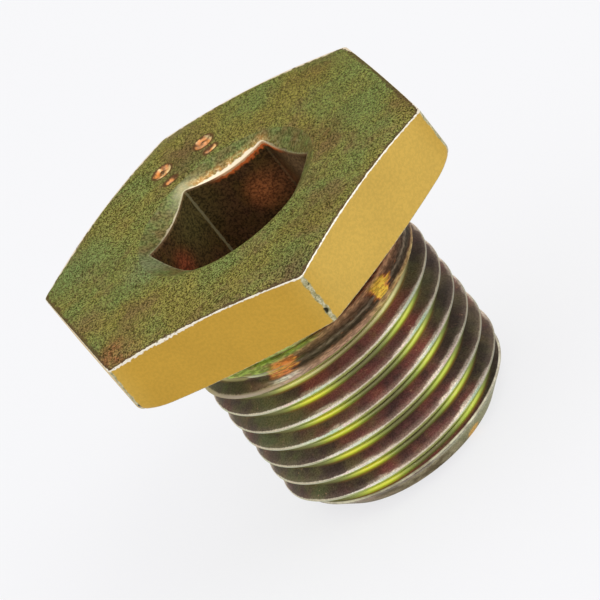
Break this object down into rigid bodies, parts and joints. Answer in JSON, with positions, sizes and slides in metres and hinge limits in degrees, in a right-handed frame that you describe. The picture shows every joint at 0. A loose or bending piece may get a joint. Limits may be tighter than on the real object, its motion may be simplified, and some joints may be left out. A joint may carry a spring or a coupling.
{
  "type": "oil drain plug",
  "caption": "Threaded plug that closes the drain hole of an oil pan, with a thin hexagon head, a hexagon key socket in the head and an undercut above the thread.",
  "frame": {"origin": "centre of the head's bearing face, on the plug's axis", "axes": "+Z along the axis, out of the head; +X to one corner of the hexagon head"},
  "size_m": [0.0276, 0.024, 0.0199],
  "materials": {
    "plating": "zinc plated steel with yellow iridescent passivation, satin"
  },
  "bodies": {
    "root": {"drain_plug": "plating"}
  },
  "joints": []
}
